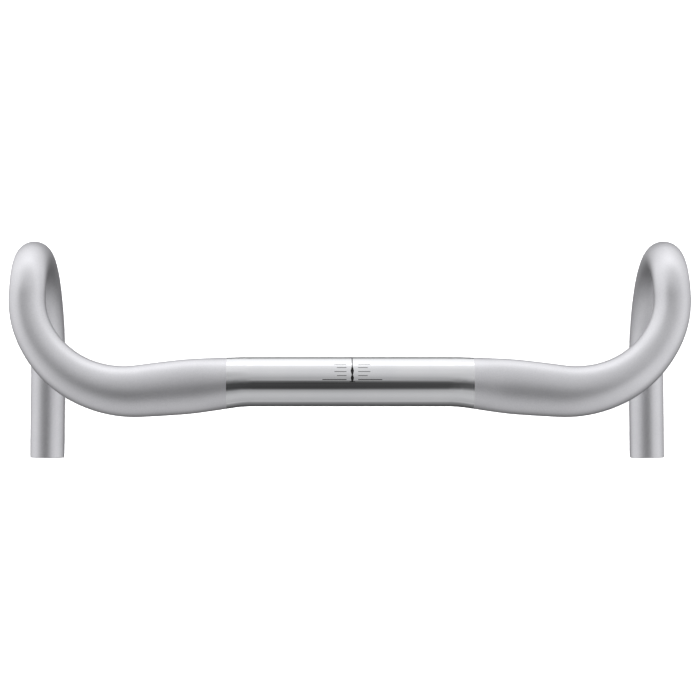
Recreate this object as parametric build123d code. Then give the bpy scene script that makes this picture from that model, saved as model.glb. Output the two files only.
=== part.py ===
from build123d import *
import math
import os

# Compact drop handlebar for a road bicycle: one butted aluminium tube, open at both ends.
# Millimetres. Origin at the centre of the stem clamp seat, on its axis.
# +X to the rider's right, +Y forward, +Z up. The left half mirrors the right half.

# ---- standard sizes ----
CLAMP_OD = 31.8            # stem clamp seat
GRIP_OD = 23.8             # lever clamp and grip diameter of hooks and drops
WIDTH_CC = 420.0           # centre to centre of the two bar ends
REACH = 80.5               # clamp axis to the foremost point of the centreline
DROP = 125.0               # clamp axis down to the centre of the bar end
END_SETBACK = 55.0         # bar ends lie this far behind the clamp axis

# ---- tops ----
SEAT_HALF = 62.5           # round, straight seat each side of the centre
POLISH_HALF = 79.0         # polished length each side, ending in a plane square to X
SWEEP_DEG = 5.2            # backward sweep of the tops
SWEEP_R = 159.0
TOP_WIDTH = 35.4           # widest front-to-back size of the flattened tops
TOP_HEIGHT = 27.0          # vertical size of the flattened tops
# Distances along the bar, from the centre:
WIDE_START, WIDE_END = 62.5, 108.0      # it widens over this length
FLAT_END = 104.0                        # its height reaches TOP_HEIGHT here
NARROW_START, NARROW_END = 98.0, 247.0  # it narrows again to the grip diameter
SLIM_START = 150.0                      # its height starts to close on the grip diameter

# ---- shoulder bend, from the tops round to the ramp: three radii, about 96 deg in all ----
BEND_R = (72.0, 67.0, 53.0)
BEND_DEG = (29.0, 40.0)    # the third arc takes what is left
RAMP_SLOPE_DEG = 10.0      # ramp falls forward
FLARE_DEG = 0.65           # hook plane opens outwards towards the bar ends

# ---- hook: three arcs in the flared plane, then the straight, level drop ----
# Directions count from 0, forward, through 90, straight down, to 180, rearward.
HOOK_UPPER_TO_DEG = 54.7   # the upper arc starts at the ramp slope and ends here
HOOK_R_MIDDLE = 42.8
HOOK_MIDDLE_TO_DEG = 96.9

# ---- wall of the butted tube ----
WALL_SEAT = 2.2
WALL_TOP = 1.5
WALL_GRIP = 1.4
SEAT_BUTT = (75.0, 120.0)   # distances along the bar over which the wall thins
GRIP_BUTT = (130.0, 230.0)
END_CHAMFER = 0.35         # deburred edges of the cut ends

LOFT_STEP = 7.0            # spacing of the sections in tapered lengths


def smooth(s, start, end):
    """0 before start, 1 after end, smooth between."""
    u = min(max((s - start) / (end - start), 0.0), 1.0)
    return u * u * (3 - 2 * u)


def settle(half_size):
    """Takes the last hundredths of the taper down to the round grip diameter."""
    grip = GRIP_OD / 2
    return grip if half_size - grip < 0.03 else half_size


def half_width(s):
    seat, top, grip = CLAMP_OD / 2, TOP_WIDTH / 2, GRIP_OD / 2
    grown = seat + (top - seat) * smooth(s, WIDE_START, WIDE_END)
    return settle(grown - (top - grip) * smooth(s, NARROW_START, NARROW_END))


def half_height(s):
    seat, top, grip = CLAMP_OD / 2, TOP_HEIGHT / 2, GRIP_OD / 2
    flattened = seat - (seat - top) * smooth(s, SEAT_HALF, FLAT_END)
    return settle(flattened - (top - grip) * smooth(s, SLIM_START, NARROW_END))


def wall(s):
    butt = WALL_SEAT - (WALL_SEAT - WALL_TOP) * smooth(s, *SEAT_BUTT)
    return butt - (WALL_TOP - WALL_GRIP) * smooth(s, *GRIP_BUTT)


# ---- centreline of the right half: straight runs and tangent arcs ----
class Run:
    """One straight or circular length of the centreline, with its section frame."""

    def __init__(self, name, start, tangent, side, s0, length, radius=None, towards=None):
        self.name, self.start, self.tangent, self.side = name, start, tangent, side
        self.s0, self.length, self.radius, self.towards = s0, length, radius, towards

    def frame(self, s):
        """Point, tangent and front-to-back direction at distance s along the bar."""
        d = s - self.s0
        if self.radius is None:
            return self.start + self.tangent * d, self.tangent, self.side
        a = d / self.radius
        point = (self.start + self.tangent * (self.radius * math.sin(a))
                 + self.towards * (self.radius * (1 - math.cos(a))))
        axis = self.tangent.cross(self.towards)
        turn = math.degrees(a)
        spin = Axis((0, 0, 0), axis)
        return point, self.tangent.rotate(spin, turn), self.side.rotate(spin, turn)

    @property
    def s1(self):
        return self.s0 + self.length


def deg(a):
    return math.radians(a)


def hook_direction(angle_down):
    """Unit vector in the flared hook plane: 0 is forward, 90 is straight down, 180 is rearward."""
    forward = Vector(-math.sin(deg(FLARE_DEG)), math.cos(deg(FLARE_DEG)), 0)
    return forward * math.cos(deg(angle_down)) - Vector(0, 0, 1) * math.sin(deg(angle_down))


def centreline(top_run, upper_radius, lower_radius):
    """Right half of the bar from the centre to the bar end, as a list of runs."""
    runs = []
    state = {"p": Vector(0, 0, 0), "t": Vector(1, 0, 0), "n": Vector(0, 1, 0), "s": 0.0}

    def push(run):
        runs.append(run)
        state["p"], state["t"], state["n"] = run.frame(run.s1)
        state["s"] = run.s1

    def straight(name, length):
        push(Run(name, state["p"], state["t"], state["n"], state["s"], length))

    def arc(name, radius, new_tangent):
        t = state["t"]
        angle = math.acos(max(-1.0, min(1.0, t.dot(new_tangent))))
        towards = (new_tangent - t * t.dot(new_tangent)).normalized()
        push(Run(name, state["p"], t, state["n"], state["s"], radius * angle, radius, towards))

    swept = Vector(math.cos(deg(SWEEP_DEG)), -math.sin(deg(SWEEP_DEG)), 0)
    ramp = hook_direction(RAMP_SLOPE_DEG)
    bend_plane_side = (ramp - swept * swept.dot(ramp)).normalized()

    def bend_direction(angle):
        return swept * math.cos(deg(angle)) + bend_plane_side * math.sin(deg(angle))

    straight("seat", SEAT_HALF)
    arc("sweep", SWEEP_R, swept)
    straight("top", top_run)
    arc("bend_inner", BEND_R[0], bend_direction(BEND_DEG[0]))
    arc("bend_middle", BEND_R[1], bend_direction(BEND_DEG[0] + BEND_DEG[1]))
    arc("ramp", BEND_R[2], ramp)
    arc("hook_upper", upper_radius, hook_direction(HOOK_UPPER_TO_DEG))
    arc("hook_middle", HOOK_R_MIDDLE, hook_direction(HOOK_MIDDLE_TO_DEG))
    arc("hook_lower", lower_radius, hook_direction(180))
    straight("drop", (state["p"].Y + END_SETBACK) / -state["t"].Y)
    return runs


def solve_centreline():
    """Finds the three free lengths that give the stated width, reach and drop."""
    top_run, upper_radius, lower_radius = 58.0, 28.0, 82.0
    for _ in range(80):
        runs = {r.name: r for r in centreline(top_run, upper_radius, lower_radius)}
        end = runs["drop"].frame(runs["drop"].s1)[0]
        middle = runs["hook_middle"]
        vertical = middle.s0 + deg(90 - HOOK_UPPER_TO_DEG) * middle.radius
        front = middle.frame(vertical)[0]
        top_run += WIDTH_CC / 2 - end.X
        upper_radius += REACH - front.Y
        lower_radius += DROP + end.Z
    return top_run, upper_radius, lower_radius


top_run, upper_radius, lower_radius = solve_centreline()
RUNS = centreline(top_run, upper_radius, lower_radius)
BY_NAME = {r.name: r for r in RUNS}


def frame_at(s):
    for run in RUNS:
        if s <= run.s1 + 1e-9:
            return run.frame(s)
    return RUNS[-1].frame(s)


def section_plane(s):
    point, tangent, side = frame_at(s)
    return Plane(origin=point, x_dir=side, z_dir=tangent)


def section(s, inset=0.0):
    """Cross-section of the tube at s, as a face square to the centreline."""
    a, b = half_width(s) - inset, half_height(s) - inset
    if abs(a - b) < 1e-4:
        return section_plane(s) * Circle(a)
    return section_plane(s) * Ellipse(a, b)


def tapered_tube(stops):
    """Hollow tube lofted through evenly spaced sections between the stops along the bar."""
    stations = [stops[0]]
    for stop in stops[1:]:
        start = stations[-1]
        count = max(2, math.ceil((stop - start) / LOFT_STEP))
        stations += [start + (stop - start) * i / count for i in range(1, count + 1)]
    outer = loft([section(s) for s in stations])
    inner = loft([section(s, wall(s)) for s in stations])
    return outer - inner


def cut_lengths(tube, planes):
    """Cuts a tube with each plane in turn, nearest the centre first, into one more length."""
    lengths = []
    for plane in planes:
        lengths.append(split(tube, bisect_by=plane, keep=Keep.BOTTOM))
        tube = split(tube, bisect_by=plane, keep=Keep.TOP)
    return lengths + [tube]


def grip_ring(s):
    return section_plane(s) * (Circle(GRIP_OD / 2) - Circle(GRIP_OD / 2 - WALL_GRIP))


def round_bend(run):
    """Hollow tube of the grip diameter along a circular run."""
    points = [run.frame(run.s0 + run.length * f)[0] for f in (0, 0.5, 1)]
    return sweep(grip_ring(run.s0), path=ThreePointArc(*points))


def straight_tube(run):
    return extrude(grip_ring(run.s0), amount=run.length)


def clamp_section(wing):
    """Polished centre: the round seat with the first of the swept, widening length on each side."""
    r = CLAMP_OD / 2
    seat = Plane.YZ.offset(-SEAT_HALF) * (Circle(r) - Circle(r - WALL_SEAT))
    seat = extrude(seat, amount=2 * SEAT_HALF)
    return seat + wing + mirror(wing, about=Plane.YZ)


def drop():
    """Straight drop with its square-cut, deburred open end."""
    run = BY_NAME["drop"]
    tube = straight_tube(run)
    end_point = run.frame(run.s1)[0]
    rims = tube.edges().filter_by(GeomType.CIRCLE).sort_by_distance(end_point)[:2]
    return chamfer(rims, END_CHAMFER)


# The tapered half from the seat to the end of the shoulder is one continuous surface,
# cut into lengths at the polish line and where the bend radius changes.
tapered = tapered_tube([SEAT_HALF, BY_NAME["sweep"].s1, WIDE_END, BY_NAME["top"].s1,
                        BY_NAME["bend_inner"].s1, BY_NAME["bend_middle"].s1,
                        BY_NAME["ramp"].s1])
wing, top, shoulder_inner, shoulder_outer, ramp = cut_lengths(tapered, [
    Plane.YZ.offset(POLISH_HALF),
    section_plane(BY_NAME["top"].s1),
    section_plane(BY_NAME["bend_inner"].s1),
    section_plane(BY_NAME["bend_middle"].s1),
])

right_side = {
    "top": top,
    "shoulder_inner": shoulder_inner,
    "shoulder_outer": shoulder_outer,
    "ramp": ramp,
    "hook_upper": round_bend(BY_NAME["hook_upper"]),
    "hook_middle": round_bend(BY_NAME["hook_middle"]),
    "hook_lower": round_bend(BY_NAME["hook_lower"]),
    "drop": drop(),
}

parts = {"clamp_section": clamp_section(wing)}
for name, shape in right_side.items():
    parts["right_" + name] = shape
    parts["left_" + name] = mirror(shape, about=Plane.YZ)

os.makedirs("parts", exist_ok=True)
for name, shape in parts.items():
    export_step(shape, "parts/" + name + ".step")

volume = sum(shape.volume for shape in parts.values())
print("top run %.2f, upper hook radius %.2f, lower hook radius %.2f" % (
    top_run, upper_radius, lower_radius))
for run in RUNS:
    point = run.frame(run.s1)[0]
    print("%-12s s %6.1f to %6.1f  R %s  ends at %7.2f %7.2f %7.2f" % (
        run.name, run.s0, run.s1, run.radius, point.X, point.Y, point.Z))
print("metal volume %.1f mm3, mass about %.0f g" % (volume, volume * 2.7e-3))
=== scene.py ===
import math

import bmesh
import bpy
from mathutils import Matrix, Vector


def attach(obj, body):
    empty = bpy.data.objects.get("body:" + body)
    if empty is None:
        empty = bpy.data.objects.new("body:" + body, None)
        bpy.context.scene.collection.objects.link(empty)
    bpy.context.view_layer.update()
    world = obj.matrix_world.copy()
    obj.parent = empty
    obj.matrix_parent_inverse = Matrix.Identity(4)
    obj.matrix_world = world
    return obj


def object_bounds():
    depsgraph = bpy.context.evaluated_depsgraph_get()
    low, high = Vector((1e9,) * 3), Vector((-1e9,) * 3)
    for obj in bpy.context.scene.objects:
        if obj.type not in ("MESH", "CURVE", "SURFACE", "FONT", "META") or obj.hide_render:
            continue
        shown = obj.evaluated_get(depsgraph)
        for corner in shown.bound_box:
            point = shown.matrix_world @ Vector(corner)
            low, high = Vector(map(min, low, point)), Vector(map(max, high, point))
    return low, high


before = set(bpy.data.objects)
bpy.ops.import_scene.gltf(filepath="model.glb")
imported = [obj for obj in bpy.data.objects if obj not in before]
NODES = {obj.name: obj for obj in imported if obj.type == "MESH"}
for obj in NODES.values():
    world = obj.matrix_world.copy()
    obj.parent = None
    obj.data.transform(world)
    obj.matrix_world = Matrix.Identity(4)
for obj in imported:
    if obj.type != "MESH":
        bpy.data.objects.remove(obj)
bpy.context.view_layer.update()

MM = 0.001
SEAT_R = 15.9 * MM


# ---------------------------------------------------------------- node helpers
class Tree:
    """Short spellings for building a node tree."""

    def __init__(self, tree):
        self.tree = tree
        tree.nodes.clear()

    def node(self, kind, **props):
        n = self.tree.nodes.new(kind)
        for key, value in props.items():
            setattr(n, key, value)
        return n

    def link(self, a, b):
        self.tree.links.new(a, b)

    def put(self, socket, value):
        """Feeds an input: a socket is linked, a plain value is set."""
        if isinstance(value, bpy.types.NodeSocket):
            self.link(value, socket)
        else:
            socket.default_value = value

    def math(self, op, a, b=None, c=None, clamp=False):
        n = self.node("ShaderNodeMath", operation=op, use_clamp=clamp)
        for i, v in enumerate((a, b, c)):
            if v is not None:
                self.put(n.inputs[i], v)
        return n.outputs[0]

    def ramp(self, fac, stops):
        """Colour ramp. Each stop is (position, grey or colour)."""
        n = self.node("ShaderNodeValToRGB")
        els = n.color_ramp.elements
        while len(els) > 1:
            els.remove(els[-1])
        els[0].position, els[0].color = stops[0][0], rgba(stops[0][1])
        for pos, col in stops[1:]:
            els.new(pos).color = rgba(col)
        self.put(n.inputs[0], fac)
        return n.outputs["Color"]


def rgba(v):
    """Opaque colour from a grey level or from three channels."""
    return tuple(v) + (1,) if isinstance(v, tuple) else (v, v, v, 1)


def material(name):
    """New material with a Principled shader: the material, its tree and the shader."""
    m = bpy.data.materials.new(name)
    m.use_nodes = True
    t = Tree(m.node_tree)
    out = t.node("ShaderNodeOutputMaterial")
    bsdf = t.node("ShaderNodeBsdfPrincipled")
    t.link(bsdf.outputs[0], out.inputs["Surface"])
    return m, t, bsdf


# ---------------------------------------------------------------- materials
def satin_aluminium():
    """Bead-blasted aluminium: even fine grain, slight cloudiness, broad highlights."""
    m, t, bsdf = material("satin_aluminium")
    pos = t.node("ShaderNodeNewGeometry").outputs["Position"]
    grain = t.node("ShaderNodeTexNoise")
    t.put(grain.inputs["Vector"], pos)
    t.put(grain.inputs["Scale"], 1100.0)
    t.put(grain.inputs["Detail"], 4.0)
    cloud = t.node("ShaderNodeTexNoise")
    t.put(cloud.inputs["Vector"], pos)
    t.put(cloud.inputs["Scale"], 45.0)
    t.put(cloud.inputs["Detail"], 3.0)
    mottle = t.math("ADD", t.math("MULTIPLY", grain.outputs["Fac"], 0.6),
                    t.math("MULTIPLY", cloud.outputs["Fac"], 0.4))
    colour = t.ramp(mottle, [(0.35, (0.778, 0.774, 0.798)), (0.65, (0.856, 0.851, 0.875))])
    t.link(colour, bsdf.inputs["Base Color"])
    t.put(bsdf.inputs["Metallic"], 1.0)
    rough = t.math("MULTIPLY_ADD", grain.outputs["Fac"], 0.08, 0.38)
    t.link(rough, bsdf.inputs["Roughness"])
    bump = t.node("ShaderNodeBump")
    t.put(bump.inputs["Strength"], 0.20)
    t.put(bump.inputs["Distance"], 0.00004)
    t.link(grain.outputs["Fac"], bump.inputs["Height"])
    t.link(bump.outputs[0], bsdf.inputs["Normal"])
    return m


def polished_aluminium():
    """Buffed seat: mirror finish with faint polishing lines round the tube."""
    m, t, bsdf = material("polished_aluminium")
    pos = t.node("ShaderNodeNewGeometry").outputs["Position"]
    squeeze = t.node("ShaderNodeMapping")
    t.put(squeeze.inputs["Vector"], pos)
    t.put(squeeze.inputs["Scale"], (1.0, 0.06, 0.06))
    lines = t.node("ShaderNodeTexNoise")
    t.link(squeeze.outputs[0], lines.inputs["Vector"])
    t.put(lines.inputs["Scale"], 2200.0)
    t.put(lines.inputs["Detail"], 3.0)
    haze = t.node("ShaderNodeTexNoise")
    t.put(haze.inputs["Vector"], pos)
    t.put(haze.inputs["Scale"], 55.0)
    colour = t.ramp(haze.outputs["Fac"],
                    [(0.3, (0.875, 0.878, 0.895)), (0.7, (0.910, 0.910, 0.922))])
    t.link(colour, bsdf.inputs["Base Color"])
    t.put(bsdf.inputs["Metallic"], 1.0)
    rough = t.math("MULTIPLY_ADD", lines.outputs["Fac"], 0.05, 0.055)
    t.link(rough, bsdf.inputs["Roughness"])
    bump = t.node("ShaderNodeBump")
    t.put(bump.inputs["Strength"], 0.03)
    t.put(bump.inputs["Distance"], 0.00001)
    t.link(lines.outputs["Fac"], bump.inputs["Height"])
    t.link(bump.outputs[0], bsdf.inputs["Normal"])
    return m


satin, polished = satin_aluminium(), polished_aluminium()
for name, obj in NODES.items():
    metal = polished if name == "clamp_section" else satin
    for slot in obj.material_slots:
        slot.material = metal


# ---------------------------------------------------------------- etched marks
MARK_X = 1.2 * MM          # centre of the scale along the seat
MARK_W = 0.42 * MM
MARK_PROUD, MARK_SUNK = 0.02 * MM, 0.06 * MM
# Angle lines, in degrees from the top towards the front, with their inner and outer ends in mm
# from the centre of the scale.
ANGLE_LINES = ((15.1, 3.7, 9.7), (24.8, 3.7, 11.4), (35.4, 3.7, 9.8), (44.3, 3.7, 11.5))
LEVEL_LINE = (5.85, 3.7, 19.0)
LEVEL_W = MARK_W * 1.15
# Centre line: its half width in mm, and its two diamonds as (middle angle, reach, half width).
LINE_HALF = 0.30
DIAMONDS = ((27.0, 12.0, 1.05), (9.5, 9.5, 1.05))
FOOT_HALF = 1.7


def etched_metal(name, dark, light):
    """Laser-etched line: dark grey, dull, a little uneven."""
    m, t, bsdf = material(name)
    speck = t.node("ShaderNodeTexNoise")
    t.put(speck.inputs["Vector"], t.node("ShaderNodeNewGeometry").outputs["Position"])
    t.put(speck.inputs["Scale"], 1800.0)
    t.put(speck.inputs["Detail"], 3.0)
    t.link(t.ramp(speck.outputs["Fac"], [(0.3, dark), (0.7, light)]), bsdf.inputs["Base Color"])
    t.put(bsdf.inputs["Metallic"], 1.0)
    t.link(t.math("MULTIPLY_ADD", speck.outputs["Fac"], 0.15, 0.5), bsdf.inputs["Roughness"])
    return m


def seat_point(x, angle, r):
    """Point on the seat: angle in degrees from the top towards the front."""
    a = math.radians(angle)
    return Vector((x, r * math.sin(a), r * math.cos(a)))


def etched_band(bm, stations):
    """Closed thin band that follows the seat. Each station is (angle, x from, x to)."""
    rings = []
    for angle, x0, x1 in stations:
        rings.append([bm.verts.new(seat_point(x, angle, SEAT_R + lift)) for x, lift in (
            (x0, MARK_PROUD), (x1, MARK_PROUD), (x1, -MARK_SUNK), (x0, -MARK_SUNK))])
    for one, two in zip(rings, rings[1:]):
        for i in range(4):
            j = (i + 1) % 4
            bm.faces.new((one[i], one[j], two[j], two[i]))
    bm.faces.new(rings[0][::-1])
    bm.faces.new(rings[-1])


def etched_piece(name, metal, bands):
    mesh = bpy.data.meshes.new(name)
    bm = bmesh.new()
    for stations in bands:
        etched_band(bm, stations)
    bmesh.ops.recalc_face_normals(bm, faces=bm.faces)
    bm.to_mesh(mesh)
    bm.free()
    mesh.materials.append(metal)
    piece = bpy.data.objects.new(name, mesh)
    bpy.context.scene.collection.objects.link(piece)
    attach(piece, "root")
    return piece


def angle_lines(side, lines, width):
    """Lines along the seat on one side of the centre line."""
    half = math.degrees(width / 2 / SEAT_R)
    bands = []
    for angle, inner, outer in lines:
        x0, x1 = sorted((MARK_X + side * inner * MM, MARK_X + side * outer * MM))
        bands.append([(angle - half, x0, x1), (angle, x0, x1), (angle + half, x0, x1)])
    return bands


def centre_line():
    """Line round the front of the seat, with two slim diamonds and a foot."""
    def half_width(angle):
        for middle, reach, widest in DIAMONDS:
            if abs(angle - middle) < reach:
                return LINE_HALF + (widest - LINE_HALF) * (1 - abs(angle - middle) / reach)
        return LINE_HALF

    angles = [2.0 + i for i in range(86)]
    line = [(a, MARK_X - half_width(a) * MM, MARK_X + half_width(a) * MM) for a in angles]
    foot = [(a, MARK_X - FOOT_HALF * MM, MARK_X + FOOT_HALF * MM) for a in (0.3, 1.1, 1.98)]
    return [line, foot]


etched_dark = etched_metal("etched_dark", 0.020, 0.045)
etched_grey = etched_metal("etched_grey", 0.11, 0.16)
for label, side in (("left", -1), ("right", 1)):
    etched_piece("angle_marks_" + label, etched_grey, angle_lines(side, ANGLE_LINES, MARK_W))
    etched_piece("level_mark_" + label, etched_dark, angle_lines(side, [LEVEL_LINE], LEVEL_W))
etched_piece("centre_mark", etched_dark, centre_line())


# ---------------------------------------------------------------- camera
def camera():
    """Looks straight down at the bar, from a little beside its middle."""
    data = bpy.data.cameras.new("camera")
    data.sensor_width = 36.0
    data.lens = 108.87
    data.shift_x, data.shift_y = 0.0496, -0.0032
    data.clip_start, data.clip_end = 0.01, 20.0
    cam = bpy.data.objects.new("camera", data)
    cam.location = (-0.0223, 0.0218, 1.3578)
    cam.rotation_euler = (0, 0, 0)
    bpy.context.scene.collection.objects.link(cam)
    bpy.context.scene.camera = cam


camera()


# ---------------------------------------------------------------- studio
# Brightness of the studio as the metal reflects it: one row for each azimuth (degrees from
# straight ahead, clockwise seen from above), one value for each angle down from overhead.
POLAR = (0, 4, 8, 13, 19, 25, 29, 33, 38, 45, 53, 61, 69, 76, 82, 88, 94, 101, 110, 120, 128, 134,
         140, 146, 152, 160, 170, 180)
ROOM = {
    -180: (0.13, 0.01, 0.06, 0.05, 0.05, 0.04, 0.05, 0.1, 0.33, 0.42, 0.5, 0.53, 0.53, 0.51, 0.47,
          0.48, 0.43, 0.52, 0.28, 0.18, 0.15, 0.1, 0.09, 0.08, 0.13, 0.1, 0.12, 0.06),
    -120: (0.13, 0.1, 0.08, 0.06, 0.07, 0.07, 0.14, 0.3, 0.39, 0.42, 0.57, 0.61, 0.55, 0.67, 0.76,
          0.76, 0.72, 0.63, 0.5, 0.46, 0.36, 0.22, 0.1, 0.05, 0.05, 0.05, 0.05, 0.06),
    -60: (0.13, 0.18, 0.18, 0.23, 0.4, 0.45, 0.37, 0.31, 0.29, 0.31, 0.82, 0.9, 1.01, 0.96, 0.91,
          0.97, 0.99, 0.96, 0.97, 1.06, 1.05, 0.98, 0.85, 0.69, 0.54, 0.37, 0.17, 0.06),
    0: (0.13, 0.08, 0.44, 0.42, 0.42, 0.49, 0.54, 0.57, 0.61, 0.67, 0.69, 0.74, 0.8, 0.89, 0.98,
          1.63, 1.62, 1.24, 1.13, 1.1, 0.84, 1.11, 0.31, 0.34, 0, 0.45, 0.31, 0.06),
    60: (0.13, 0.2, 0.26, 0.26, 0.46, 0.61, 0.61, 0.6, 0.6, 0.62, 0.69, 0.77, 0.89, 0.93, 0.92,
          0.89, 0.84, 0.73, 0.74, 0.86, 0.83, 0.72, 0.51, 0.35, 0.21, 0.1, 0.07, 0.06),
    120: (0.13, 0.09, 0.1, 0.08, 0.12, 0.17, 0.43, 0.76, 0.94, 0.85, 0.72, 0.78, 0.81, 0.76, 0.85,
          0.86, 0.71, 0.51, 0.42, 0.42, 0.25, 0.08, 0.05, 0.05, 0.05, 0.05, 0.05, 0.06),
}
ROOM_SCALE = 2.5    # the ramps hold brightness divided by this
ROOM_TINT = (0.985, 0.99, 1.0)
FILL = 3.0          # even light on the paper floor


def background(t, colour, strength):
    node = t.node("ShaderNodeBackground")
    t.put(node.inputs["Color"], rgba(colour))
    t.put(node.inputs["Strength"], strength)
    return node.outputs[0]


def choose(t, switch, no, yes):
    node = t.node("ShaderNodeMixShader")
    for socket, value in zip(node.inputs, (switch, no, yes)):
        t.link(value, socket)
    return node.outputs[0]


def studio_world():
    """Plain pale room. The metal reflects light panels in front, at the sides and low down,
    and a darker opening overhead that leans to the rear."""
    world = bpy.data.worlds.new("studio")
    bpy.context.scene.world = world
    world.use_nodes = True
    t = Tree(world.node_tree)
    out = t.node("ShaderNodeOutputWorld")
    direction = t.node("ShaderNodeTexCoord").outputs["Generated"]
    sep = t.node("ShaderNodeSeparateXYZ")
    t.link(direction, sep.inputs[0])
    x, y, z = sep.outputs
    polar = t.math("DIVIDE", t.math("ARCCOSINE", z), math.pi)
    step = 360 / len(ROOM)
    azimuth = t.math("DIVIDE", t.math("ARCTAN2", x, y), math.radians(step))
    half_turn = len(ROOM) / 2
    total = 0.0
    for az, row in ROOM.items():
        level = t.ramp(polar, [(p / 180, v / ROOM_SCALE) for p, v in zip(POLAR, row)])
        away = t.math("WRAP", t.math("SUBTRACT", azimuth, az / step), half_turn, -half_turn)
        share = t.math("SUBTRACT", 1.0, t.math("ABSOLUTE", away), clamp=True)
        total = t.math("MULTIPLY_ADD", level, share, total)
    room = background(t, ROOM_TINT, t.math("MULTIPLY", total, ROOM_SCALE))
    fill = background(t, 1.0, FILL)
    plain = background(t, 1.0, 1.0)
    path = t.node("ShaderNodeLightPath").outputs
    lit = choose(t, path["Is Diffuse Ray"], room, fill)
    t.link(choose(t, path["Is Camera Ray"], lit, plain), out.inputs["Surface"])


studio_world()


def studio_floor():
    """Plain pale paper just under the bar. The metal doesn't reflect it."""
    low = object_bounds()[0].z
    mesh = bpy.data.meshes.new("floor")
    bm = bmesh.new()
    bmesh.ops.create_grid(bm, x_segments=2, y_segments=2, size=4.0)
    bm.to_mesh(mesh)
    bm.free()
    floor = bpy.data.objects.new("floor", mesh)
    floor.location = (0, 0, low - 0.2 * MM)
    bpy.context.scene.collection.objects.link(floor)
    m, t, bsdf = material("floor_paper")
    noise = t.node("ShaderNodeTexNoise")
    t.put(noise.inputs["Scale"], 30.0)
    t.link(t.ramp(noise.outputs["Fac"], [(0.3, 0.90), (0.7, 0.92)]), bsdf.inputs["Base Color"])
    t.put(bsdf.inputs["Roughness"], 0.9)
    t.put(bsdf.inputs["Specular IOR Level"], 0.0)
    mesh.materials.append(m)
    floor.visible_glossy = False


studio_floor()
bpy.context.scene.view_settings.view_transform = "Standard"
